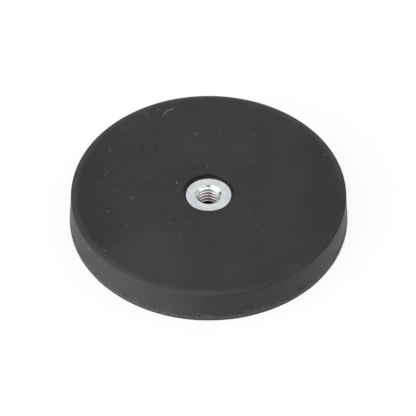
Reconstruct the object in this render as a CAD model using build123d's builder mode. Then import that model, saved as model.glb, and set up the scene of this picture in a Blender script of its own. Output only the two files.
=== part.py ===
from build123d import *
from math import cos, pi, radians, tan
import os

# Rubber-coated pot magnet with a threaded bush, in millimetres. The magnet face lies on z = 0
# with its centre at the origin, and the bush opens upwards, away from what the magnet grips.

# Rubber jacket
jacket_diameter = 66.0  # at the foot
jacket_height = 8.5
wall_draft = 4.1  # degrees that the wall leans inwards, so that it leaves the mould
top_edge_radius = 0.75
rim_rubber = 2.4  # beyond the plate's edge, at the foot
contact_skin = 0.8  # under the magnets

# Recess above the bush, in the jacket's top
recess_depth = 0.95
recess_margin = 0.65  # rubber floor left round the bush
recess_edge = 0.15

# Steel plate behind the magnets
plate_thickness = 2.5

# Threaded bush, pressed into the plate from the magnets' side
tap_diameter = 5.0  # hole that an M6 thread is cut in
mouth_diameter = 6.2  # over the chamfer where the screw enters
bush_diameter = 10.8
shoulder_sides = 6  # the rubber holds these flats, so that the bush can't turn
shoulder_width = 12.0  # across the flats
shoulder_height = 2.4  # under the plate, where it takes the screw's pull

# Disc magnets, in two rings round the bush. Each ring holds an even number, so that north and
# south poles take turns all the way round.
magnet_diameter = 8.0
magnet_thickness = 3.0
outer_magnets = 12
inner_magnets = 6
plate_margin = 1.1  # plate left outside the outer ring
shoulder_gap = 1.5  # rubber between the inner ring and the corners of the shoulder

# Levels, from the magnet face upwards
plate_bottom = contact_skin + magnet_thickness
shoulder_bottom = plate_bottom - shoulder_height
bush_top = jacket_height - recess_depth

# Radii
jacket_radius = jacket_diameter / 2
jacket_top_radius = jacket_radius - jacket_height * tan(radians(wall_draft))
plate_radius = jacket_radius - rim_rubber
bush_radius = bush_diameter / 2
recess_radius = bush_radius + recess_margin
shoulder_corner_radius = shoulder_width / 2 / cos(pi / shoulder_sides)
magnet_radius = magnet_diameter / 2

os.makedirs("parts", exist_ok=True)


# The bush before it is drilled. The plate and the jacket are cut to this shape.
with BuildPart() as bush_blank:
    with BuildSketch(Plane.XY.offset(shoulder_bottom)):
        RegularPolygon(shoulder_corner_radius, shoulder_sides)
    extrude(amount=shoulder_height)
    with BuildSketch(Plane.XY.offset(plate_bottom)):
        Circle(bush_radius)
    extrude(amount=bush_top - plate_bottom)

with BuildPart() as threaded_bush:
    add(bush_blank.part)
    with Locations((0, 0, bush_top)):
        CounterSinkHole(tap_diameter / 2, mouth_diameter / 2, counter_sink_angle=90)
threaded_bush.part.label = "threaded_bush"
export_step(threaded_bush.part, "parts/threaded_bush.step")


with BuildPart() as steel_plate:
    with BuildSketch(Plane.XY.offset(plate_bottom)):
        Circle(plate_radius)
        Circle(bush_radius, mode=Mode.SUBTRACT)
    extrude(amount=plate_thickness)
steel_plate.part.label = "steel_plate"
export_step(steel_plate.part, "parts/steel_plate.step")


# The outer ring keeps to the plate's edge, and the inner one to the bush's shoulder.
magnet_rings = {
    "outer": (plate_radius - plate_margin - magnet_radius, outer_magnets),
    "inner": (shoulder_corner_radius + shoulder_gap + magnet_radius, inner_magnets),
}

magnets = []
for ring_name, (ring_radius, magnet_count) in magnet_rings.items():
    for number in range(magnet_count):
        with BuildPart() as magnet:
            with BuildSketch(Plane.XY.offset(contact_skin)):
                with PolarLocations(ring_radius, 1, start_angle=number * 360 / magnet_count):
                    Circle(magnet_radius)
            extrude(amount=magnet_thickness)
        magnet.part.label = f"{ring_name}_magnet_{number + 1:02d}"
        export_step(magnet.part, f"parts/{magnet.part.label}.step")
        magnets.append(magnet.part)


# One shot of rubber round the finished insert: the bush, the plate and the magnets.
with BuildPart() as rubber_jacket:
    with BuildSketch(Plane.XZ) as jacket_section:
        with BuildLine():
            Polyline(
                (0, 0),
                (jacket_radius, 0),
                (jacket_top_radius, jacket_height),
                (recess_radius, jacket_height),
                (recess_radius, bush_top),
                (0, bush_top),
                close=True,
            )
        make_face()
        chamfer(jacket_section.vertices().group_by(Axis.Y)[-1].sort_by(Axis.X)[0], recess_edge)
        fillet(jacket_section.vertices().group_by(Axis.Y)[-1].sort_by(Axis.X)[-1], top_edge_radius)
    revolve(axis=Axis.Z)
    add(bush_blank.part, mode=Mode.SUBTRACT)
    add(steel_plate.part, mode=Mode.SUBTRACT)
    add(magnets, mode=Mode.SUBTRACT)
rubber_jacket.part.label = "rubber_jacket"
export_step(rubber_jacket.part, "parts/rubber_jacket.step")
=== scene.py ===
from functools import partial
from math import cos, pi, radians, sin, tan

import bmesh
import bpy
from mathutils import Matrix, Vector


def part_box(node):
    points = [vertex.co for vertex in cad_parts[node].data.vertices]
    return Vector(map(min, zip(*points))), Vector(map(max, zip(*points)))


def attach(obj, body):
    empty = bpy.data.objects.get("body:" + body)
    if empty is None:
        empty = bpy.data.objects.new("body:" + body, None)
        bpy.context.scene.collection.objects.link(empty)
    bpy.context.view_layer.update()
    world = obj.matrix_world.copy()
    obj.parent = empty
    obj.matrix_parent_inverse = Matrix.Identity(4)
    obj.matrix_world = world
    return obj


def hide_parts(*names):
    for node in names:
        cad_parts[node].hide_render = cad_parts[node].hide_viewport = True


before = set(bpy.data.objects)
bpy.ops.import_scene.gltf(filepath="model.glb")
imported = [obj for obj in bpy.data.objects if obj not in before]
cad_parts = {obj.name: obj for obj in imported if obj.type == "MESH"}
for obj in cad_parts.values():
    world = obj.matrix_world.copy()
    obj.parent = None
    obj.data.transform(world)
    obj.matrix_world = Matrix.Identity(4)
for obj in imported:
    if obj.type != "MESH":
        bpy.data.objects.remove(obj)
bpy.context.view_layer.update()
scene = bpy.context.scene
mm = 0.001
hub = mm  # radius of the circle that sections are swept along
noiseRange = (0.3, 0.7)  # nearly all of a noise's values
smooth = {"interpolation_type": "SMOOTHSTEP"}
print("frame loaded:", len(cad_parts), "nodes")


def linear(hexColour):
    # sRGB hex to the linear values that sockets take
    channels = [int(hexColour[i:i + 2], 16) / 255 for i in (1, 3, 5)]
    return [c / 12.92 if c <= 0.04045 else ((c + 0.055) / 1.055) ** 2.4 for c in channels] + [1.0]


def addNode(tree, kind, inputs=(), **settings):
    # inputs is a list in socket order, or a dictionary; a socket that takes several links has a list of
    # them, and a node given as a value means the first of its outputs that is in use
    node = tree.nodes.new(kind)
    for name, value in settings.items():
        setattr(node, name, value)
    for key, given in inputs.items() if isinstance(inputs, dict) else enumerate(inputs):
        socket = node.inputs[key]
        for value in given if socket.is_multi_input else [given]:
            if isinstance(value, bpy.types.Node):
                value = next(output for output in value.outputs if output.enabled)
            if isinstance(value, bpy.types.NodeSocket):
                tree.links.new(value, socket)
            elif value is not None:
                socket.default_value = value
    return node


def newMaterial(name):
    material = bpy.data.materials.new(name)
    material.use_nodes = True
    material.node_tree.nodes.clear()
    return material, partial(addNode, material.node_tree)


def newGeometryTree(name, inputs):
    # each of the inputs has a kind of socket and a value, which runTree sets
    tree = bpy.data.node_groups.new(name, "GeometryNodeTree")
    tree.interface.new_socket("Geometry", in_out="INPUT", socket_type="NodeSocketGeometry")
    tree.interface.new_socket("Geometry", in_out="OUTPUT", socket_type="NodeSocketGeometry")
    for socketName, (kind, _) in inputs.items():
        tree.interface.new_socket(socketName, in_out="INPUT", socket_type="NodeSocket" + kind)
    return partial(addNode, tree), tree.nodes.new("NodeGroupInput").outputs


def runTree(name, base, lastNode, given, inputs, sharpAngle):
    # the tree gets its ending here, and base, a mesh, goes through it once and comes back as a plain
    # mesh object
    tree = lastNode.id_data
    whole = addNode(tree, "GeometryNodeRealizeInstances", [lastNode])
    ending = addNode(tree, "GeometryNodeSetMaterial", {"Geometry": whole, "Material": given["Material"]})
    addNode(tree, "NodeGroupOutput", [ending])
    source = bpy.data.objects.new(name + "Source", base)
    scene.collection.objects.link(source)
    modifier = source.modifiers.new("build", "NODES")
    modifier.node_group = tree
    for item in tree.interface.items_tree:
        if item.in_out == "INPUT" and item.name in inputs:
            modifier[item.identifier] = inputs[item.name][1]
    evaluated = source.evaluated_get(bpy.context.evaluated_depsgraph_get())
    mesh = bpy.data.meshes.new_from_object(evaluated)
    bpy.data.objects.remove(source)
    work = bmesh.new()
    work.from_mesh(mesh)
    bmesh.ops.recalc_face_normals(work, faces=work.faces)
    work.to_mesh(mesh)
    work.free()
    mesh.polygons.foreach_set("use_smooth", [True] * len(mesh.polygons))
    mesh.polygons.foreach_set("material_index", [0] * len(mesh.polygons))
    mesh.materials.clear()
    mesh.materials.append(inputs["Material"][1])
    if mesh.has_custom_normals:  # they come along with a CAD mesh
        mesh.attributes.remove(mesh.attributes["custom_normal"])
    mesh.set_sharp_from_angle(angle=radians(sharpAngle))
    piece = bpy.data.objects.new(name, mesh)
    scene.collection.objects.link(piece)
    print(name, "made:", len(mesh.vertices), "vertices")
    return piece


def sectionMesh(name, corners, closed, attributes):
    # corners are (radius, height, attribute values...) in mm
    mesh = bpy.data.meshes.new(name)
    count = len(corners)
    edges = [(i, i + 1) for i in range(count - 1)] + ([(count - 1, 0)] if closed else [])
    # y points down, because the sweep turns the section over
    mesh.from_pydata([(c[0] * mm - hub, -c[1] * mm, 0) for c in corners], edges, [])
    for index, attribute in enumerate(attributes):
        layer = mesh.attributes.new(attribute, "FLOAT", "POINT")
        layer.data.foreach_set("value", [c[2 + index] for c in corners])
    return mesh


def sweepSection(add, given, steps):
    # the corners are rounded, in so many steps, and the section goes round the axis
    profile = add("GeometryNodeMeshToCurve", [given["Geometry"]])
    rounding = add("GeometryNodeInputNamedAttribute", {"Name": "rounding"}, data_type="FLOAT")
    inMetres = add("ShaderNodeMath", [rounding, mm], operation="MULTIPLY")
    rounded = add("GeometryNodeFilletCurve", {
        "Curve": profile, "Count": steps, "Radius": inMetres, "Limit Radius": True}, mode="POLY")
    path = add("GeometryNodeCurvePrimitiveCircle", {"Resolution": given["Segments"], "Radius": hub})
    return add("GeometryNodeCurveToMesh", {"Curve": path, "Profile Curve": rounded})


def placeInMm(add):
    place = add("ShaderNodeTexCoord").outputs["Object"]
    return add("ShaderNodeVectorMath", [place, (1 / mm,) * 3], operation="MULTIPLY")


def fromAxis(add, place):
    # a place without its height, the direction outwards from the axis, and the distance from it
    flat = add("ShaderNodeVectorMath", [place, (1, 1, 0)], operation="MULTIPLY")
    outwards = add("ShaderNodeVectorMath", [flat], operation="NORMALIZE")
    return flat, outwards, add("ShaderNodeVectorMath", [flat], operation="LENGTH")


def facingUp(add):
    normal = add("ShaderNodeNewGeometry").outputs["Normal"]
    return add("ShaderNodeSeparateXYZ", [normal]).outputs["Z"]


def finishMetal(add, colour, rough, height, depth):
    relief = add("ShaderNodeBump", {"Strength": 1.0, "Distance": depth * mm, "Height": height})
    shader = add("ShaderNodeBsdfPrincipled", {
        "Base Color": colour, "Metallic": 1.0, "Roughness": rough, "Normal": relief})
    add("ShaderNodeOutputMaterial", [shader])


# Black rubber, injection moulded round the insert: satin, nearly neutral, with a fine grit from
# the mould. Painted light makes its wall paler on one side, puts a painted highlight on the top's
# edge and a paler patch on the top at the front left, and painted shade darkens the top to the left
# and right. Below the parting line the foot is paler, from scuffs and a painted reflection of the
# table, and along the line there are nicks where the flash was torn off, which painted shade darkens.
rubber = {
    "colour": "#0c0c0c",
    # paler tone, for the clouds and for the top's painted light
    "cloudyAndLit": "#2e2e2e",
    # colour of the painted light on the wall and of the painted highlight on the top's edge
    "paintedLight": "#343433",
    # near black: painted shade in the nicks, and the colour of one dark spot
    "nearBlack": "#030303",
    # paler tone for scuffs and burrs, and for the foot's painted reflection of the table
    "scuffedAndLit": "#4b4a4a",
    "roughness": (0.46, 0.54),
    "ior": 1.46,
    "gritSize": 0.35,  # mm; the real grit is nearer 0.1, too fine to show
    "gritDepth": 0.006,  # mm
    "cloudSize": 9.0,  # mm
    "cloudTone": (-0.22, 0.82),
    # the top: painted light makes it paler at the front left, and painted shade makes it darker to the
    # left and right
    "topLevel": 8.0,  # mm above the foot
    "litPatchPlace": (-14.5, -24.0, 8.5),
    "litPatchFade": (3.0, 17.0),  # mm from there
    "litPatchTone": 0.36,
    "shadedSidesFade": (18.0, 29.0),  # mm from the middle
    "shadedSidesTone": -0.27,
    # painted light on the side of the wall that faces the left-front light: the way it faces, cosines
    # from that, and mm from the axis
    "paintedLightSide": (-0.545, -0.839, 0),
    "paintedLightFade": (0.82, 1.0),
    "paintedLightRadius": (31.0, 31.7),
    "paintedLightFoot": 0.2,  # mm, with none below
    "paintedLightClouds": (0.6, 1.0),
    # painted highlight on the top's edge, with less of it on the side that faces this way
    "bareSide": (0.77, -0.64, 0),
    "bareFade": (0.55, 0.85),
    "bareShare": 0.2,
    "edgeFacing": (0.35, 0.8),  # upward part of the normal
    "edgeRadius": (30.2, 32.1),
    # tears at the foot: nicks, burrs and the paler foot (scuffs and a painted reflection) each show in a
    # range of one noise's values
    "tearSize": (0.6, 0.25),  # mm along the foot and up the wall
    "tearLevel": 1.5,  # mm above the foot
    "tearFade": (0.25, 0.9),  # mm above and below that
    "tearDepth": 0.08,
    "nicks": (0.55, 0.6),
    "burrs": (0.47, 0.42),
    "scuffsAndLight": (0.35, 0.6),
    "scuffAndLightShare": (0.9, 0.4),
    "scuffAndLightLevel": (1.8, 0.9),
    "stretchSize": 5.0,  # mm, of the stretches in which the tears come and go
    "stretchFade": (0.42, 0.55),
    "stretchShare": (0.15, 1.0),
    # a dark spot near the foot at the front right
    "darkSpotPlace": (21.3, -24.9, 2.6),
    "darkSpotFade": (0.2, 0.85),
    "darkSpotShare": 0.9,
}


def makeRubber():
    material, add = newMaterial("mouldedBlackRubber")
    inMm = placeInMm(add)
    outwards, radius = fromAxis(add, inMm)[1:]
    parts = add("ShaderNodeSeparateXYZ", [inMm]).outputs
    level = parts["Z"]
    flash = add("ShaderNodeAttribute", attribute_name="flash").outputs["Fac"]
    clouds = add("ShaderNodeTexNoise", {
        "Vector": inMm, "Scale": 1 / rubber["cloudSize"], "Detail": 4, "Roughness": 0.6})
    grit = add("ShaderNodeTexNoise", {"Vector": inMm, "Scale": 1 / rubber["gritSize"], "Detail": 2})
    # clouds of tone, and the top's painted light and shade
    tone = add("ShaderNodeMapRange", [clouds, 0, 1, *rubber["cloudTone"]])
    # painted light: paler round one place at the top's front left
    fromLitPatch = add("ShaderNodeVectorMath", [inMm, rubber["litPatchPlace"]], operation="DISTANCE")
    fade = [*rubber["litPatchFade"], rubber["litPatchTone"], 0]
    litPatch = add("ShaderNodeMapRange", [fromLitPatch, *fade], **smooth)
    # painted shade: darker towards the left and right of the top
    across = add("ShaderNodeMath", [parts["X"]], operation="ABSOLUTE")
    shadedSides = add("ShaderNodeMapRange", [across, *rubber["shadedSidesFade"], 0, rubber["shadedSidesTone"]], **smooth)
    shade = add("ShaderNodeMath", [litPatch, shadedSides], operation="ADD")
    onTop = add("ShaderNodeMath", [level, rubber["topLevel"]], operation="GREATER_THAN")
    shade = add("ShaderNodeMath", [shade, onTop], operation="MULTIPLY")
    tone = add("ShaderNodeMath", [tone, shade], operation="ADD", use_clamp=True)
    # painted light on one side of the wall, and a painted highlight on the top's edge
    side = add("ShaderNodeVectorMath", [outwards, rubber["paintedLightSide"]], operation="DOT_PRODUCT")
    paintedLight = add("ShaderNodeMapRange", [side, *rubber["paintedLightFade"]], **smooth)
    outside = add("ShaderNodeMapRange", [radius, *rubber["paintedLightRadius"]], **smooth)
    paintedLight = add("ShaderNodeMath", [paintedLight, outside], operation="MULTIPLY")
    side = add("ShaderNodeVectorMath", [outwards, rubber["bareSide"]], operation="DOT_PRODUCT")
    edge = add("ShaderNodeMapRange", [side, *rubber["bareFade"], 1, rubber["bareShare"]], **smooth)
    facing = add("ShaderNodeMapRange", [facingUp(add), *rubber["edgeFacing"]])
    onEdge = add("ShaderNodeMapRange", [radius, *rubber["edgeRadius"]], **smooth)
    for factor in (facing, onEdge):
        edge = add("ShaderNodeMath", [edge, factor], operation="MULTIPLY")
    paintedLight = add("ShaderNodeMath", [paintedLight, edge], operation="MAXIMUM")
    aboveFoot = add("ShaderNodeMath", [level, rubber["paintedLightFoot"]], operation="GREATER_THAN")
    patches = add("ShaderNodeMapRange", [clouds, *noiseRange, *rubber["paintedLightClouds"]])
    for factor in (aboveFoot, patches):
        paintedLight = add("ShaderNodeMath", [paintedLight, factor], operation="MULTIPLY")
    # paler below the parting line, from scuffs and a painted reflection of the table, then nicks and
    # burrs along it, which come and go; painted shade darkens the nicks
    along, up = rubber["tearSize"]
    scaled = add("ShaderNodeVectorMath", [inMm, (1 / along, 1 / along, 1 / up)], operation="MULTIPLY")
    dashes = add("ShaderNodeTexNoise", {"Vector": scaled, "Scale": 1.0, "Detail": 2, "Roughness": 0.6})
    scuffsAndLight = add("ShaderNodeMapRange", [level, *rubber["scuffAndLightLevel"]], **smooth)
    patches = add("ShaderNodeMapRange", [dashes, *rubber["scuffsAndLight"], *rubber["scuffAndLightShare"]])
    for factor in (patches, flash):
        scuffsAndLight = add("ShaderNodeMath", [scuffsAndLight, factor], operation="MULTIPLY")
    stretches = add("ShaderNodeTexNoise", {
        "Vector": inMm, "Scale": 1 / rubber["stretchSize"], "Detail": 2})
    stretches = add("ShaderNodeMapRange", [stretches, *rubber["stretchFade"], *rubber["stretchShare"]])
    offLine = add("ShaderNodeMath", [level, rubber["tearLevel"]], operation="SUBTRACT")
    offLine = add("ShaderNodeMath", [offLine], operation="ABSOLUTE")
    onLine = add("ShaderNodeMapRange", [offLine, *rubber["tearFade"], 1, 0], **smooth)
    onLine = add("ShaderNodeMath", [onLine, stretches], operation="MULTIPLY")
    # the nicks are dents, which painted shade darkens
    nicks, burrs = [add("ShaderNodeMapRange", [dashes, *rubber[name]]) for name in ("nicks", "burrs")]
    nicks, burrs, tears = [
        add("ShaderNodeMath", [mark, onLine], operation="MULTIPLY") for mark in (nicks, burrs, dashes)]
    # a dark spot near the foot
    fromDarkSpot = add("ShaderNodeVectorMath", [inMm, rubber["darkSpotPlace"]], operation="DISTANCE")
    fromDarkSpot = add("ShaderNodeMath", [fromDarkSpot, dashes], operation="MULTIPLY")
    fade = [*rubber["darkSpotFade"], rubber["darkSpotShare"], 0]
    darkSpot = add("ShaderNodeMapRange", [fromDarkSpot, *fade], **smooth)
    colour = linear(rubber["colour"])
    for amount, finish in (
        (tone, "cloudyAndLit"), (paintedLight, "paintedLight"), (scuffsAndLight, "scuffedAndLit"), (nicks, "nearBlack"), (burrs, "scuffedAndLit"),
        (darkSpot, "nearBlack"),
    ):
        layer = {"Factor": amount, "A": colour, "B": linear(rubber[finish])}
        colour = add("ShaderNodeMix", layer, data_type="RGBA")
    rough = add("ShaderNodeMapRange", [clouds, *noiseRange, *rubber["roughness"]])
    relief = None
    for height, depth in ((tears, -rubber["tearDepth"]), (grit, rubber["gritDepth"])):
        relief = add("ShaderNodeBump", {
            "Strength": 1.0, "Distance": depth * mm, "Height": height, "Normal": relief})
    shader = add("ShaderNodeBsdfPrincipled", {
        "Base Color": colour, "Roughness": rough, "IOR": rubber["ior"], "Normal": relief})
    add("ShaderNodeOutputMaterial", [shader])
    return material


# Bright zinc over turned steel: pale and faintly blue, with rings from the facing tool on the
# flat and a smoother gleam on the chamfer. Down the thread it turns a little rougher, and painted
# shade darkens it, a little at first and to near black at the bottom.
zinc = {
    "colour": "#e6ebeb",
    "ringed": "#c6c3cc",
    # painted shade down the thread, and near black painted shade deep in the bore
    "dull": "#dcd3d4",
    "oily": "#141211",
    "roughness": (0.15, 0.25),
    "threadRoughness": 0.1,  # more than that
    "ringPitch": 0.25,  # mm; the tool's feed is nearer 0.1, too fine to show
    "ringWobble": 0.9,  # mm
    "ringDepth": 0.006,  # mm
    "rings": (0.4, 0.62),  # values of their noise, from no tone to the full one
    "facing": (0.9, 0.97),  # upward part of the normal, on the flat
    "cloudSize": 2.0,  # mm
    "worn": (0.35, 0.65),  # values of the clouds' noise, and the share of the rings that is left there
    "wornShare": (0.15, 1.0),
    "boreRadius": 3.3,  # mm
    # mm below the face where each painted shade comes in
    "dullDepth": (1.4, 3.0),  # mm below the face
    "oilyDepth": (4.4, 5.3),
    "mattDepth": (0.7, 1.2),
}


def makeZinc():
    material, add = newMaterial("zincPlatedTurnedSteel")
    inMm = placeInMm(add)
    level = add("ShaderNodeSeparateXYZ", [inMm]).outputs["Z"]
    radius = fromAxis(add, inMm)[2]
    onFace = add("ShaderNodeMapRange", [facingUp(add), *zinc["facing"]])
    # rings, which the clouds bend and wear
    clouds = add("ShaderNodeTexNoise", {"Vector": inMm, "Scale": 1 / zinc["cloudSize"], "Detail": 4})
    wobble = add("ShaderNodeMath", [clouds, zinc["ringWobble"], radius], operation="MULTIPLY_ADD")
    rings = add("ShaderNodeTexNoise", {
        "W": wobble, "Scale": 1 / zinc["ringPitch"], "Detail": 3,
    }, noise_dimensions="1D")
    height = add("ShaderNodeMath", [rings, onFace], operation="MULTIPLY")
    ringed = add("ShaderNodeMapRange", [rings, *zinc["rings"]])
    worn = add("ShaderNodeMapRange", [clouds, *zinc["worn"], *zinc["wornShare"]])
    for factor in (worn, onFace):
        ringed = add("ShaderNodeMath", [ringed, factor], operation="MULTIPLY")
    # down the bore: painted shade that deepens towards the bottom, and more roughness
    inBore = add("ShaderNodeMath", [radius, zinc["boreRadius"]], operation="LESS_THAN")
    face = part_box("threaded_bush")[1].z / mm
    amounts = {"ringed": ringed}
    for finish, settings in (("dull", smooth), ("oily", smooth), ("matt", {})):
        first, last = [face - depth for depth in zinc[finish + "Depth"]]
        amount = add("ShaderNodeMapRange", [level, first, last], **settings)
        amounts[finish] = add("ShaderNodeMath", [amount, inBore], operation="MULTIPLY")
    colour = linear(zinc["colour"])
    for finish in ("ringed", "dull", "oily"):
        layer = {"Factor": amounts[finish], "A": colour, "B": linear(zinc[finish])}
        colour = add("ShaderNodeMix", layer, data_type="RGBA")
    rough = add("ShaderNodeMapRange", [clouds, *noiseRange, *zinc["roughness"]])
    rougher = [amounts["matt"], zinc["threadRoughness"], rough]
    rough = add("ShaderNodeMath", rougher, operation="MULTIPLY_ADD")
    finishMetal(add, colour, rough, height, zinc["ringDepth"])
    return material


# Rolled sheet steel, stamped and left bare: mid grey, with faint streaks along the rolling.
sheet = {
    "colour": "#8f9092",
    "streak": "#7c7d80",
    "streaks": (0.35, 0.65),  # values of their noise, from no tone to the full one
    "roughness": (0.32, 0.44),
    "streakSize": (12.0, 0.5),  # mm along and across the rolling
    "streakDepth": 0.004,  # mm
}


def makeSheetSteel():
    material, add = newMaterial("stampedSheetSteel")
    along, across = sheet["streakSize"]
    scales = (1 / along, 1 / across, 1 / across)
    scaled = add("ShaderNodeVectorMath", [placeInMm(add), scales], operation="MULTIPLY")
    streaks = add("ShaderNodeTexNoise", {"Vector": scaled, "Scale": 1.0, "Detail": 3})
    amount = add("ShaderNodeMapRange", [streaks, *sheet["streaks"]])
    layer = {"Factor": amount, "A": linear(sheet["colour"]), "B": linear(sheet["streak"])}
    colour = add("ShaderNodeMix", layer, data_type="RGBA")
    rough = add("ShaderNodeMapRange", [streaks, *noiseRange, *sheet["roughness"]])
    finishMetal(add, colour, rough, streaks, sheet["streakDepth"])
    return material


# Nickel over a sintered magnet: warm silver, soft-edged, with the magnet's fine pits showing through.
nickel = {
    "colour": "#c9c3b8",
    "shaded": "#b8b2a8",
    "roughness": (0.22, 0.35),
    "cloudScale": 0.3,  # per mm
    "pitSize": 0.4,  # mm
    "pitDepth": 0.006,  # mm
}


def makeNickel():
    material, add = newMaterial("nickelPlatedMagnet")
    inMm = placeInMm(add)
    pits = add("ShaderNodeTexNoise", {"Vector": inMm, "Scale": 1 / nickel["pitSize"], "Detail": 3})
    clouds = add("ShaderNodeTexNoise", {"Vector": inMm, "Scale": nickel["cloudScale"], "Detail": 2})
    layer = {"Factor": clouds, "A": linear(nickel["colour"]), "B": linear(nickel["shaded"])}
    colour = add("ShaderNodeMix", layer, data_type="RGBA")
    rough = add("ShaderNodeMapRange", [pits, *noiseRange, *nickel["roughness"]])
    finishMetal(add, colour, rough, pits, nickel["pitDepth"])
    return material


rubberMaterial = makeRubber()
zincMaterial = makeZinc()
hidden = {"steel_plate": makeSheetSteel(), "magnet": makeNickel()}
for node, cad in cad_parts.items():
    for word, material in hidden.items():
        if word in node:
            for slot in cad.material_slots:
                slot.material = material
print("materials made")


# Threaded bush: an M6 by 1 thread, cut right-handed, with a chamfer at each end of the bore.
bush = {
    "minorRadius": 2.46,  # mm, as the other lengths are
    "majorRadius": 3.0,
    "pitch": 1.0,
    "threadStart": 0.9,  # turns
    "crest": 0.04,  # flat half of the crest, as a share of the pitch: the plating has rounded it
    "root": 15 / 32,  # where the root starts, the same way
    "mouthRadius": 3.1,
    "barrelRadius": 5.4,
    "margin": 0.3,  # of the faces, from their edges
    "faceEdge": 0.12,
    "edgeSteps": 5,
    "rowsPerTurn": 26,
    "segments": 192,
    "weld": 1e-4,
    "sharpAngle": 30,  # degrees
}


def makeBush():
    low, high = [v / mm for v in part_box("threaded_bush")]
    bottom, top = low.z, high.z
    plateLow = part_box("steel_plate")[0].z / mm
    mouth, barrel = bush["mouthRadius"] + bush["margin"], bush["barrelRadius"]
    rows = round((top - bottom) / (bush["pitch"] / bush["rowsPerTurn"]))
    # radius, height, rounding, bore, shoulder
    levels = [bottom + (top - bottom) * i / rows for i in range(rows + 1)]
    corners = [(bush["minorRadius"], level, 0, 1, 0) for level in levels]
    corners += [
        (mouth, top, 0, 0, 0),
        (barrel - bush["margin"], top, 0, 0, 0),
        (barrel, top, bush["faceEdge"], 0, 0),
        (barrel, plateLow, 0, 0, 0),
        (high.y, plateLow, 0, 0, 1),
        (high.y, bottom, 0, 0, 1),
        (mouth, bottom, 0, 0, 0),
    ]
    section = sectionMesh("bushSection", corners, True, ["rounding", "bore", "shoulder"])
    inputs = {
        "Segments": ("Int", bush["segments"]),
        "Minor radius": ("Float", bush["minorRadius"] * mm),
        "Major radius": ("Float", bush["majorRadius"] * mm),
        "Pitch": ("Float", bush["pitch"] * mm),
        "Thread start": ("Float", bush["threadStart"]),
        "Crest": ("Float", bush["crest"]),
        "Root": ("Float", bush["root"]),
        "Mouth radius": ("Float", bush["mouthRadius"] * mm),
        "Bottom": ("Float", bottom * mm),
        "Top": ("Float", top * mm),
        "Material": ("Material", zincMaterial),
    }
    add, given = newGeometryTree("threadedBush", inputs)
    shaped = sweepSection(add, given, bush["edgeSteps"])
    place = add("GeometryNodeInputPosition")
    outwards, across = fromAxis(add, place)[1:]
    parts = add("ShaderNodeSeparateXYZ", [place]).outputs
    height = parts["Z"]
    turn = add("ShaderNodeMath", [parts["Y"], parts["X"]], operation="ARCTAN2")
    # distance from the nearest crest, as a share of the pitch
    turns = add("ShaderNodeMath", [turn, 2 * pi], operation="DIVIDE")
    turns = add("ShaderNodeMath", [turns, given["Thread start"]], operation="ADD")
    rise = add("ShaderNodeMath", [height, given["Pitch"]], operation="DIVIDE")
    phase = add("ShaderNodeMath", [rise, turns], operation="SUBTRACT")
    phase = add("ShaderNodeMath", [phase], operation="FRACT")
    phase = add("ShaderNodeMath", [phase, 0.5], operation="SUBTRACT")
    fromCrest = add("ShaderNodeMath", [phase], operation="ABSOLUTE")
    # rounded crest and root, with flanks near 60 degrees between
    flank = [fromCrest, *[given[name] for name in ("Crest", "Root", "Minor radius", "Major radius")]]
    thread = add("ShaderNodeMapRange", flank, **smooth)
    # 45 degree chamfers at the two ends
    belowTop = add("ShaderNodeMath", [given["Top"], height], operation="SUBTRACT")
    aboveBottom = add("ShaderNodeMath", [height, given["Bottom"]], operation="SUBTRACT")
    nearer = add("ShaderNodeMath", [belowTop, aboveBottom], operation="MINIMUM")
    cone = add("ShaderNodeMath", [given["Mouth radius"], nearer], operation="SUBTRACT")
    boreRadius = add("ShaderNodeMath", [thread, cone], operation="MAXIMUM")
    # hexagon of the shoulder, from the radius of its flats and the angle from the middle of the nearest
    angle = add("ShaderNodeMath", [turn, 2 * pi], operation="ADD")
    angle = add("ShaderNodeMath", [angle, pi / 3], operation="MODULO")
    angle = add("ShaderNodeMath", [angle, pi / 6], operation="SUBTRACT")
    slant = add("ShaderNodeMath", [angle], operation="COSINE")
    hexRadius = add("ShaderNodeMath", [across, slant], operation="DIVIDE")
    level = add("ShaderNodeCombineXYZ", {"Z": height})
    for name, radius in (("bore", boreRadius), ("shoulder", hexRadius)):
        share = add("GeometryNodeInputNamedAttribute", {"Name": name}, data_type="FLOAT")
        chosen = add("ShaderNodeMath", [share, 0.99], operation="GREATER_THAN")
        arm = add("ShaderNodeVectorMath", {"Vector": outwards, "Scale": radius}, operation="SCALE")
        target = add("ShaderNodeVectorMath", [arm, level], operation="ADD")
        moved = {"Geometry": shaped, "Selection": chosen, "Position": target}
        shaped = add("GeometryNodeSetPosition", moved)
    joined = add("GeometryNodeMergeByDistance", {"Geometry": shaped, "Distance": bush["weld"] * mm})
    return runTree("threadedBush", section, joined, given, inputs, bush["sharpAngle"])


bushPiece = makeBush()
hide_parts("threaded_bush")
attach(bushPiece, "root")


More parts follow.
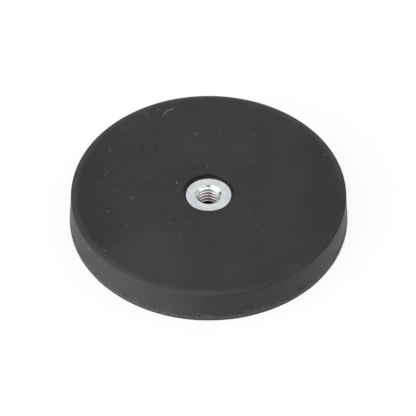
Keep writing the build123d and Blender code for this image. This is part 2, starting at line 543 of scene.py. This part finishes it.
# Rubber jacket. Its section is swept round the axis, the flash at its foot is roughened, and the
# seats of the magnets and of the bush's shoulder are cut out of its core.
jacket = {
    "draft": 3.8,  # degrees
    "rollOver": (0.9, 0.36),  # mm in from the wall and down from the top, where the top rolls over
    "rollRadius": 1.3,
    "rollBend": 0.9,  # mm, which the bend into the level top stays within
    "cornerRadius": 0.4,
    "edgeSteps": 8,
    "recessRadius": 5.98,
    "recessMargin": 0.7,  # mm of the top that stay as swept round the recess
    "recessEdge": 0.14,
    "recessFoot": 0.08,
    "footEdge": 0.12,
    "footMargin": 2.0,  # of the foot's face, from its edge
    "wallMargin": 1.2,  # of the wall, from the top
    "flashHeight": 1.4,  # level of the parting line, above which the wall steps in
    "flashWidth": 0.16,
    "flashEdge": 0.06,
    "flashStep": 0.05,  # height of the step
    "flashRise": 0.35,  # how far the parting line wanders up and down
    # mm above the parting line, and the share of its rise that is left there
    "riseFade": [(0.3, 0.8), (0.8, 0.3), (1.2, 0)],
    "wanderScale": 600,  # per m
    # scale (per m) and detail of a noise, its values from no trimming to the most, and how much that is
    "trimming": [(190, 1, (0.42, 0.6), 0.8), (1100, 3, (0.45, 0.62), 0.6)],
    "dustRoom": 0.03,  # the top is this much low, so that dust on it stays within the height
    "pinCentre": (-15.9, 14.5),  # ring that an ejector pin has left
    "pinRadius": 3.3,
    "pinGroove": 0.14,  # half its width
    "pinDepth": 0.45,  # share of that
    "pinSegments": 96,
    "pinSteps": 7,
    "overlap": 0.6,  # mm that the cutters of the seats reach past their ends
    "segments": 960,
    "weld": 1e-3,
    "sharpAngle": 40,  # degrees
    "seed": 7,
}


def makeJacket():
    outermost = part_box("rubber_jacket")[1]
    foot, top = outermost.x / mm, outermost.z / mm - jacket["dustRoom"]
    plateLow, plateHigh = [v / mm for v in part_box("steel_plate")]
    bushLow, bushHigh = [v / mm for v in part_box("threaded_bush")]
    parting, width, recess = jacket["flashHeight"], jacket["flashWidth"], jacket["recessRadius"]
    topRadius = foot - top * tan(radians(jacket["draft"]))
    rollIn, rollDown = jacket["rollOver"]
    levelOutside = topRadius - rollIn - jacket["rollBend"]
    levelInside = recess + jacket["recessMargin"]
    step, straightTop = jacket["flashStep"], top - jacket["wallMargin"]

    def wallAt(height):
        return topRadius + (top - height) * (foot - width - topRadius) / (top - parting)

    # radius, height, rounding, flash (how far it may step in), rise
    corners = [
        (0, 0, 0, 0, 0),
        (foot - jacket["footMargin"], 0, 0, 0, 0),
        (foot, 0, jacket["footEdge"], 0.3, 0),
        (foot, parting / 4, 0, 0.6, 0),
        (foot, parting / 2, 0, 1, 0.3),
        (foot, parting * 3 / 4, 0, 1, 0.8),
        (foot, parting, jacket["flashEdge"], 1, 1),
        (wallAt(parting), parting + step, step, 0, 1),
        *[(wallAt(parting + up), parting + up, 0, 0, share) for up, share in jacket["riseFade"]],
        (wallAt(straightTop), straightTop, 0, 0, 0),
        (wallAt(top - rollDown), top - rollDown, jacket["cornerRadius"], 0, 0),
        (topRadius - rollIn, top, jacket["rollRadius"], 0, 0),
        (levelOutside, top, 0, 0, 0),
        (levelInside, top, 0, 0, 0),
        (recess, top, jacket["recessEdge"], 0, 0),
        (recess, bushHigh.z, jacket["recessFoot"], 0, 0),
        (bush["barrelRadius"], bushHigh.z, 0, 0, 0),
        (bush["barrelRadius"], plateHigh.z, 0, 0, 0),
        (plateHigh.x, plateHigh.z, 0, 0, 0),
        (plateHigh.x, plateLow.z, 0, 0, 0),
        (0, plateLow.z, 0, 0, 0),
    ]
    section = sectionMesh("jacketSection", corners, False, ["rounding", "flash", "rise"])
    magnets = bpy.data.collections.new("magnets")
    for node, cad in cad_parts.items():
        if "_magnet_" in node:
            magnets.objects.link(cad)
    inputs = {
        "Segments": ("Int", jacket["segments"]),
        "Flash width": ("Float", width * mm),
        "Flash rise": ("Float", jacket["flashRise"] * mm),
        "Seed": ("Float", float(jacket["seed"])),
        "Magnets": ("Collection", magnets),
        "Shoulder radius": ("Float", bushHigh.x * mm),
        "Shoulder bottom": ("Float", bushLow.z * mm),
        "Shoulder top": ("Float", plateLow.z * mm),
        "Level inside": ("Float", levelInside * mm),
        "Level outside": ("Float", levelOutside * mm),
        "Pin centre": ("Vector", [v * mm for v in (*jacket["pinCentre"], top)]),
        "Pin radius": ("Float", jacket["pinRadius"] * mm),
        "Pin groove": ("Float", jacket["pinGroove"] * mm),
        "Material": ("Material", rubberMaterial),
    }
    add, given = newGeometryTree("mouldedJacket", inputs)
    swept = sweepSection(add, given, jacket["edgeSteps"])
    weld = jacket["weld"] * mm
    # the level part of the top is taken out and filled in again round the ring of the ejector pin, which
    # is half a tube deep
    place = add("GeometryNodeInputPosition")
    flat, outwards, distance = fromAxis(add, place)
    height = add("ShaderNodeSeparateXYZ", [place]).outputs["Z"]
    ringHeight = add("ShaderNodeSeparateXYZ", [given["Pin centre"]]).outputs["Z"]
    justBelow = add("ShaderNodeMath", [ringHeight, weld], operation="SUBTRACT")
    isOpen = add("ShaderNodeMath", [height, justBelow], operation="GREATER_THAN")
    rims = []
    levelHeight = add("ShaderNodeCombineXYZ", {"Z": ringHeight})
    for name, operation in (("Level inside", "GREATER_THAN"), ("Level outside", "LESS_THAN")):
        isWithin = add("ShaderNodeMath", [distance, given[name]], operation=operation)
        isOpen = add("ShaderNodeMath", [isOpen, isWithin], operation="MULTIPLY")
        circle = {"Resolution": given["Segments"], "Radius": given[name]}
        rim = add("GeometryNodeCurvePrimitiveCircle", circle)
        rims.append(add("GeometryNodeTransform", {"Geometry": rim, "Translation": levelHeight}))
    for operation in ("ADD", "SUBTRACT"):
        radius = add("ShaderNodeMath", [given["Pin radius"], given["Pin groove"]], operation=operation)
        circle = {"Resolution": jacket["pinSegments"], "Radius": radius}
        rim = add("GeometryNodeCurvePrimitiveCircle", circle)
        rims.append(add("GeometryNodeTransform", {"Geometry": rim, "Translation": given["Pin centre"]}))
    opened = add("GeometryNodeDeleteGeometry", {"Geometry": swept, "Selection": isOpen}, domain="FACE")
    filled = add("GeometryNodeFillCurve", [add("GeometryNodeJoinGeometry", [rims])])
    filled = add("GeometryNodeTransform", {"Geometry": filled, "Translation": levelHeight})
    filled = add("GeometryNodeFlipFaces", [filled])  # the same way round as the sweeps
    circle = {"Resolution": jacket["pinSegments"], "Radius": given["Pin radius"]}
    ring = add("GeometryNodeCurvePrimitiveCircle", circle)
    arc = {"Resolution": jacket["pinSteps"], "Radius": given["Pin groove"], "Sweep Angle": pi}
    halfTube = add("GeometryNodeCurveArc", arc)
    groove = add("GeometryNodeCurveToMesh", {"Curve": ring, "Profile Curve": halfTube})
    groove = add("GeometryNodeTransform", {
        "Geometry": groove, "Translation": given["Pin centre"], "Scale": (1, 1, jacket["pinDepth"])})
    pieces = add("GeometryNodeJoinGeometry", [[opened, filled, groove]])
    joined = add("GeometryNodeMergeByDistance", {"Geometry": pieces, "Distance": weld})
    # the flash: in places it is trimmed back flush with the wall, and its upper edge wanders
    flash, rise = [
        add("GeometryNodeInputNamedAttribute", {"Name": name}, data_type="FLOAT")
        for name in ("flash", "rise")]
    inward = 0.0
    for scale, detail, trimRange, share in jacket["trimming"]:
        noise = add("ShaderNodeTexNoise", {
            "Vector": place, "W": given["Seed"], "Scale": scale, "Detail": detail,
        }, noise_dimensions="4D")
        part = add("ShaderNodeMapRange", [noise, *trimRange, 0, share])
        inward = add("ShaderNodeMath", [inward, part], operation="ADD", use_clamp=True)
    for factor in (flash, given["Flash width"], -1.0):
        inward = add("ShaderNodeMath", [inward, factor], operation="MULTIPLY")
    shift = add("ShaderNodeVectorMath", {"Vector": outwards, "Scale": inward}, operation="SCALE")
    wander = add("ShaderNodeTexNoise", {
        "Vector": flat, "W": given["Seed"], "Scale": jacket["wanderScale"], "Detail": 3,
    }, noise_dimensions="4D")
    lift = add("ShaderNodeMapRange", [wander, *noiseRange, -1, 1])
    for factor in (rise, given["Flash rise"]):
        lift = add("ShaderNodeMath", [lift, factor], operation="MULTIPLY")
    lift = add("ShaderNodeCombineXYZ", {"Z": lift})
    shift = add("ShaderNodeVectorMath", [shift, lift], operation="ADD")
    ragged = add("GeometryNodeSetPosition", {"Geometry": joined, "Offset": shift})
    # the seats: their cutters reach past the core's floor, so that no faces lie on each other
    overlap = jacket["overlap"] * mm
    cad = add("GeometryNodeCollectionInfo", {"Collection": given["Magnets"]}, transform_space="ORIGINAL")
    loose = add("GeometryNodeRealizeInstances", [cad])
    discs = add("GeometryNodeMergeByDistance", {"Geometry": loose, "Distance": weld})
    upper = add("ShaderNodeMath", [given["Shoulder top"], overlap], operation="SUBTRACT")
    upper = add("ShaderNodeMath", [height, upper], operation="GREATER_THAN")
    moved = {"Geometry": discs, "Selection": upper, "Offset": (0, 0, overlap)}
    taller = add("GeometryNodeSetPosition", moved)
    depth = add("ShaderNodeMath", [given["Shoulder top"], given["Shoulder bottom"]], operation="SUBTRACT")
    depth = add("ShaderNodeMath", [depth, overlap], operation="ADD")
    hexagon = {"Vertices": 6, "Radius": given["Shoulder radius"], "Depth": depth}
    prism = add("GeometryNodeMeshCylinder", hexagon)
    middle = add("ShaderNodeMath", [depth, 0.5], operation="MULTIPLY")
    middle = add("ShaderNodeMath", [given["Shoulder bottom"], middle], operation="ADD")
    middle = add("ShaderNodeCombineXYZ", {"Z": middle})
    raised = add("GeometryNodeTransform", {"Geometry": prism, "Translation": middle})
    cutters = add("GeometryNodeJoinGeometry", [[taller, raised]])
    solids = {"Mesh 1": ragged, "Mesh 2": [cutters]}
    seated = add("GeometryNodeMeshBoolean", solids, operation="DIFFERENCE", solver="MANIFOLD")
    return runTree("rubberJacket", section, seated, given, inputs, jacket["sharpAngle"])


jacketPiece = makeJacket()
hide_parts("rubber_jacket")
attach(jacketPiece, "root")


# Dust: flakes on the top where they lie, a sprinkling of finer ones, three hairs of lint, and a speck
# on the wall. A flake is a thin fluff, so that the rubber shows through it more and more towards its
# rim. It is grey-beige in the middle, and has no more gloss than the rubber.
dust = {
    # across, back (mm), size (mm), paleness
    "flakes": [
        (-7.5, 3.0, 0.65, 1.0), (-8.9, -10.3, 0.8, 0.28), (-19.1, -11.0, 0.85, 0.15),
        (-24.1, -18.8, 0.8, 0.25), (-14.9, 25.7, 1.0, 0.15), (-12.1, 27.3, 0.85, 0.21),
        (-20.4, 20.9, 0.8, 0.14), (-2.9, 19.2, 1.15, 0.14), (2.9, 20.2, 0.8, 0.12),
        (10.9, 18.6, 0.75, 0.12), (-23.6, 14.2, 0.7, 0.14), (-23.6, 13.2, 0.75, 0.16),
        (-17.1, 14.5, 0.7, 0.15), (1.6, 12.7, 0.6, 0.24), (27.6, 12.2, 0.95, 0.1), (-0.2, 8.3, 0.85, 0.2),
        (-22.2, 0.2, 0.8, 0.16), (-17.9, -2.0, 0.85, 0.23), (-15.1, -2.6, 0.85, 0.14),
        (-23.5, -6.2, 0.85, 0.15), (-4.0, -9.9, 0.75, 0.11), (-6.7, -14.4, 0.95, 0.13),
        (4.4, -27.0, 0.6, 0.14), (9.8, -6.1, 0.9, 0.1), (15.8, 2.7, 0.6, 0.09), (11.2, -10.6, 0.75, 0.11),
        (-6.7, 1.8, 0.6, 0.16), (-7.0, 0.9, 0.5, 0.08), (-6.3, 3.4, 0.4, 0.1), (-5.2, 5.0, 0.4, 0.1),
    ],
    # thickness (mm), paleness, then points
    "hairs": [
        (0.35, 0.27, [(-10.9, 25.3), (-10.6, 26.3), (-9.9, 27.0), (-9.0, 27.5), (-8.2, 27.7)]),
        (0.14, 0.2, [(-24.6, 5.3), (-24.3, 6.2), (-23.7, 6.9)]),
        (0.08, 0.15, [(-22.2, -11.3), (-20.6, -11.5), (-18.7, -11.2)]),
    ],
    # the same for a speck that is stuck to the wall
    "speck": (0.42, 0.85, [(-27.7, -16.8, 7.25), (-27.5, -17.1, 7.2)]),
    "rim": "#181817",
    "core": "#8d8b88",
    "patchScale": 900.0,  # per m
    "roughness": 0.5,
    "sheen": 0.1,
    "room": 0.025,  # mm above the top
    "chipRadius": 0.5,  # share of a flake's size, as are the next three
    "chipDepth": 0.2,
    "chipLength": (0.7, 1.5),
    "chipWidth": 0.8,
    "chipSides": 12,
    "hairSides": 8,
    "hairSteps": 24,
    "fray": 0.16,  # mm
    "frayScale": 9000,  # per m
    "sprinkled": 260,
    "sprinkledSize": 0.25,  # mm
    "sprinkledSpread": (0.5, 1.3),
    "sprinkledPaleness": 0.5,
    "leaning": (-30, 12),  # mm across, between which the sprinkling thins out
    "leaningShare": (1.0, 0.25),
    "patches": (0.4, 0.65),  # values of a noise, from none of it to all
    "sprinkledScale": 120,  # per m
    "discSides": 64,  # of the disc that the sprinkling falls on
    "discCuts": 4,
    "reach": 31.0,  # mm from the middle
    "recessMargin": 0.4,  # mm
    "sharpAngle": 50,  # degrees
    "seed": 4,
}


def makeDustMaterial():
    material, add = newMaterial("houseDust")
    place = add("ShaderNodeTexCoord").outputs["Object"]
    patches = add("ShaderNodeTexNoise", {"Vector": place, "Scale": dust["patchScale"], "Detail": 1})
    patches = add("ShaderNodeMath", [patches, 0.5], operation="ADD")
    pale, core = [
        add("ShaderNodeAttribute", attribute_name=name).outputs["Fac"] for name in ("paleness", "core")]
    for factor in (core, patches):
        pale = add("ShaderNodeMath", [pale, factor], operation="MULTIPLY")
    layer = {"Factor": pale, "A": linear(dust["rim"]), "B": linear(dust["core"])}
    colour = add("ShaderNodeMix", layer, data_type="RGBA")
    shader = add("ShaderNodeBsdfPrincipled", {
        "Base Color": colour, "Roughness": dust["roughness"], "IOR": rubber["ior"],
        "Sheen Weight": dust["sheen"]})
    add("ShaderNodeOutputMaterial", [shader])
    return material


def makeDust():
    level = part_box("rubber_jacket")[1].z / mm - jacket["dustRoom"]
    # across, back, up, flake size, hair thickness (m), paleness
    points = [(x * mm, y * mm, level * mm, size * mm, 0, pale) for x, y, size, pale in dust["flakes"]]
    edges = []
    strands = [
        (thickness, pale, [(x, y, level) for x, y in hair]) for thickness, pale, hair in dust["hairs"]]
    for thickness, pale, strand in strands + [dust["speck"]]:
        edges += [(len(points) + i, len(points) + i + 1) for i in range(len(strand) - 1)]
        points += [(x * mm, y * mm, z * mm, 0, thickness * mm, pale) for x, y, z in strand]
    base = bpy.data.meshes.new("dustLayout")
    base.from_pydata([point[:3] for point in points], edges, [])
    for index, name in enumerate(("size", "thickness", "paleness")):
        values = [point[3 + index] for point in points]
        base.attributes.new(name, "FLOAT", "POINT").data.foreach_set("value", values)
    inputs = {
        "Level": ("Float", level * mm),
        "Reach": ("Float", dust["reach"] * mm),
        "Clear radius": ("Float", (jacket["recessRadius"] + dust["recessMargin"]) * mm),
        "Count": ("Int", dust["sprinkled"]),
        "Fine size": ("Float", dust["sprinkledSize"] * mm),
        "Fine paleness": ("Float", dust["sprinkledPaleness"]),
        "Room": ("Float", dust["room"] * mm),
        "Seed": ("Int", dust["seed"]),
        "Material": ("Material", makeDustMaterial()),
    }
    add, given = newGeometryTree("settledDust", inputs)
    onPoints = {"data_type": "FLOAT", "domain": "POINT"}
    place = add("GeometryNodeInputPosition")
    distance = fromAxis(add, place)[2]
    parts = add("ShaderNodeSeparateXYZ", [place]).outputs
    size, thickness = [
        add("GeometryNodeInputNamedAttribute", {"Name": name}, data_type="FLOAT")
        for name in ("size", "thickness")]
    isFlake = add("ShaderNodeMath", [size, 0.0], operation="GREATER_THAN")
    placed = add("GeometryNodeMeshToPoints", {"Mesh": given["Geometry"], "Selection": isFlake})
    # fine dust, more of it on the left
    disc = add("GeometryNodeMeshCircle", {
        "Vertices": dust["discSides"], "Radius": given["Reach"],
    }, fill_type="TRIANGLE_FAN")
    disc = add("GeometryNodeSubdivideMesh", [disc, dust["discCuts"]])
    up = add("ShaderNodeCombineXYZ", {"Z": given["Level"]})
    lifted = add("GeometryNodeTransform", {"Geometry": disc, "Translation": up})
    first, last = [x * mm for x in dust["leaning"]]
    leaning = add("ShaderNodeMapRange", [parts["X"], first, last, *dust["leaningShare"]])
    patchy = add("ShaderNodeTexNoise", {"Vector": place, "Scale": dust["sprinkledScale"], "Detail": 1})
    patchy = add("ShaderNodeMapRange", [patchy, *dust["patches"]])
    spread = add("ShaderNodeMath", [leaning, patchy], operation="MULTIPLY")
    area = add("ShaderNodeMath", [given["Reach"], given["Reach"]], operation="MULTIPLY")
    area = add("ShaderNodeMath", [area, pi], operation="MULTIPLY")
    density = add("ShaderNodeMath", [given["Count"], area], operation="DIVIDE")
    density = add("ShaderNodeMath", [spread, density], operation="MULTIPLY")
    sprinkling = {"Mesh": lifted, "Density": density, "Seed": given["Seed"]}
    fine = add("GeometryNodeDistributePointsOnFaces", sprinkling)
    inRecess = add("ShaderNodeMath", [distance, given["Clear radius"]], operation="LESS_THAN")
    fine = add("GeometryNodeDeleteGeometry", {"Geometry": fine, "Selection": inRecess})
    low, high = dust["sprinkledSpread"]
    fineSize = add("FunctionNodeRandomValue", {
        "Min": low, "Max": high, "Seed": given["Seed"],
    }, data_type="FLOAT")
    fineSize = add("ShaderNodeMath", [fineSize, given["Fine size"]], operation="MULTIPLY")
    for name, value in (("size", fineSize), ("paleness", given["Fine paleness"])):
        stored = {"Geometry": fine, "Name": name, "Value": value}
        fine = add("GeometryNodeStoreNamedAttribute", stored, **onPoints)
    points = add("GeometryNodeJoinGeometry", [[placed, fine]])
    # a flake is a thin chip with a ragged outline, and its core runs from 1 in the middle to 0 at the rim
    chip = add("GeometryNodeMeshCylinder", {
        "Vertices": dust["chipSides"], "Radius": dust["chipRadius"], "Depth": dust["chipDepth"],
    }, fill_type="TRIANGLE_FAN")
    core = add("ShaderNodeMath", [distance, -1 / dust["chipRadius"], 1.0], operation="MULTIPLY_ADD")
    stored = {"Geometry": chip, "Name": "core", "Value": core}
    chip = add("GeometryNodeStoreNamedAttribute", stored, **onPoints)
    turn, longer = [
        add("FunctionNodeRandomValue", {
            "Min": low, "Max": high, "Seed": given["Seed"],
        }, data_type="FLOAT")
        for low, high in ((0.0, 2 * pi), dust["chipLength"])]
    turned = add("ShaderNodeCombineXYZ", {"Z": turn})
    shape = add("ShaderNodeCombineXYZ", {"X": longer, "Y": dust["chipWidth"], "Z": 1.0})
    scaled = add("ShaderNodeVectorMath", {"Vector": shape, "Scale": size}, operation="SCALE")
    chips = add("GeometryNodeInstanceOnPoints", {
        "Points": points, "Instance": chip, "Rotation": turned, "Scale": scaled})
    chips = add("GeometryNodeRealizeInstances", [chips])
    frayed = add("ShaderNodeTexNoise", {"Vector": place, "Scale": dust["frayScale"], "Detail": 1})
    frayed = add("ShaderNodeVectorMath", [frayed.outputs["Color"], (0.5, 0.5, 0.5)], operation="SUBTRACT")
    frays = (dust["fray"] * mm, dust["fray"] * mm, 0)
    frayed = add("ShaderNodeVectorMath", [frayed, frays], operation="MULTIPLY")
    ragged = add("GeometryNodeSetPosition", {"Geometry": chips, "Offset": frayed})
    # hairs
    hairs = add("GeometryNodeMeshToCurve", [given["Geometry"]])
    hairs = add("GeometryNodeCurveSplineType", {"Curve": hairs}, spline_type="NURBS")
    hairs = add("GeometryNodeResampleCurve", {"Curve": hairs, "Count": dust["hairSteps"]})
    ring = add("GeometryNodeCurvePrimitiveCircle", {"Resolution": dust["hairSides"], "Radius": 0.5})
    hairs = add("GeometryNodeCurveToMesh", {
        "Curve": hairs, "Profile Curve": ring, "Scale": thickness, "Fill Caps": True})
    stored = {"Geometry": hairs, "Name": "core", "Value": 1.0}
    hairs = add("GeometryNodeStoreNamedAttribute", stored, **onPoints)
    # nothing stands above the part's height
    everything = add("GeometryNodeJoinGeometry", [[ragged, hairs]])
    highest = add("ShaderNodeMath", [given["Level"], given["Room"]], operation="ADD")
    lower = add("ShaderNodeMath", [parts["Z"], highest], operation="MINIMUM")
    settled = add("ShaderNodeCombineXYZ", [parts["X"], parts["Y"], lower])
    settled = add("GeometryNodeSetPosition", {"Geometry": everything, "Position": settled})
    return runTree("settledDust", base, settled, given, inputs, dust["sharpAngle"])


dustPiece = makeDust()
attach(dustPiece, "root")


# Studio: a white table with a round opening under the part, so that its underside can be seen.
studio = {
    "tableSize": 1.5,  # m
    "openingRadius": 32.6,  # mm
    "tableDrop": 0.02,  # mm below the foot
    "tableColour": "#fafafa",
    "tableShare": 0.85,  # how much of the table's white doesn't depend on the light
    "segments": 64,
}


def makeTable():
    mesh = bpy.data.meshes.new("table")
    work = bmesh.new()
    angles = [2 * pi * i / studio["segments"] for i in range(studio["segments"])]
    inner, outer = [
        [work.verts.new((radius * cos(a), radius * sin(a), -studio["tableDrop"] * mm)) for a in angles]
        for radius in (studio["openingRadius"] * mm, studio["tableSize"])]
    for i in range(len(angles)):
        work.faces.new((inner[i - 1], outer[i - 1], outer[i], inner[i]))
    work.to_mesh(mesh)
    work.free()
    table = bpy.data.objects.new("table", mesh)
    scene.collection.objects.link(table)
    material, add = newMaterial("whiteTable")
    rays = add("ShaderNodeLightPath").outputs
    seen = add("ShaderNodeMath", [rays["Is Camera Ray"], rays["Is Glossy Ray"]], operation="MAXIMUM")
    seen = add("ShaderNodeMath", [seen, rays["Is Transmission Ray"]], operation="MAXIMUM")
    share = add("ShaderNodeMath", [seen, studio["tableShare"]], operation="MULTIPLY")
    lit = add("ShaderNodeBsdfDiffuse", {"Color": linear(studio["tableColour"])})
    glow = add("ShaderNodeEmission", {"Color": (1, 1, 1, 1), "Strength": 1.0})
    white = add("ShaderNodeMixShader", [share, lit, glow])
    # from below the table isn't there
    under = add("ShaderNodeNewGeometry").outputs["Backfacing"]
    oneSided = add("ShaderNodeMixShader", [under, white, add("ShaderNodeBsdfTransparent")])
    add("ShaderNodeOutputMaterial", [oneSided])
    mesh.materials.append(material)


# White tent round the table: azimuth (from the camera's side, positive to its right), elevation,
# cosines of the patch's outer and inner spread, and how much brighter it is than the tent.
tent = {
    "level": 0.16,
    "patches": {
        "back": (180, 45, 0.6, 0.95, 0.71),
        "overCamera": (0, 86, 0.87, 0.97, 1.1),
        "leftOfCamera": (-66, 40, 0.79, 0.92, 0.95),
        "rightOfCamera": (60, 40, 0.79, 0.92, 1.0),
        "left": (-75, 0, 0.75, 0.95, 2.4),
        "frontLeft": (-38, 6, 0.7, 0.92, 2.0),
        "right": (110, 25, 0.72, 0.93, 0.45),
        "below": (0, -90, 0.3, 0.8, 0.8),
    },
}


def towards(azimuth, elevation):
    a, e = radians(azimuth), radians(elevation)
    return Vector((sin(a) * cos(e), -cos(a) * cos(e), sin(e)))


def makeWorld():
    world = bpy.data.worlds.new("whiteTent")
    world.use_nodes = True
    world.node_tree.nodes.clear()
    add = partial(addNode, world.node_tree)
    direction = add("ShaderNodeTexCoord").outputs["Generated"]
    total = tent["level"]
    for azimuth, elevation, outer, inner, level in tent["patches"].values():
        middle = towards(azimuth, elevation)
        along = add("ShaderNodeVectorMath", [direction, middle], operation="DOT_PRODUCT")
        patch = add("ShaderNodeMapRange", [along, outer, inner, 0, level], **smooth)
        total = add("ShaderNodeMath", [total, patch], operation="ADD")
    # the camera sees plain white
    camera = add("ShaderNodeLightPath").outputs["Is Camera Ray"]
    strength = add("ShaderNodeMix", {"Factor": camera, "A": total, "B": 1.0}, data_type="FLOAT")
    background = add("ShaderNodeBackground", {"Color": (1, 1, 1, 1), "Strength": strength})
    add("ShaderNodeOutputWorld", [background])
    scene.world = world


view = {
    "elevation": 46.8,  # degrees
    "distance": 825.0,  # mm from the centre of the foot
    "focal": 3475.0,  # pixels
    "frame": 416,  # pixels across
    "aim": (-0.14, 2.0),  # mm across and up in the picture, from the centre of the foot
    "sensor": 36,  # mm
    "clip": (0.01, 20),  # m
}


def makeCamera():
    data = bpy.data.cameras.new("camera")
    data.sensor_width = view["sensor"]
    data.lens = view["focal"] / view["frame"] * view["sensor"]
    data.clip_start, data.clip_end = view["clip"]
    camera = bpy.data.objects.new("camera", data)
    scene.collection.objects.link(camera)
    e = radians(view["elevation"])
    back, up = Vector((0, -cos(e), sin(e))), Vector((0, sin(e), cos(e)))
    across, rise = view["aim"]
    aim = Vector((across * mm, 0, 0)) + up * rise * mm
    camera.location = aim + back * view["distance"] * mm
    camera.rotation_euler = back.to_track_quat("Z", "Y").to_euler()
    scene.camera = camera


makeTable()
makeWorld()
makeCamera()
scene.view_settings.view_transform = "Standard"
print("studio made")
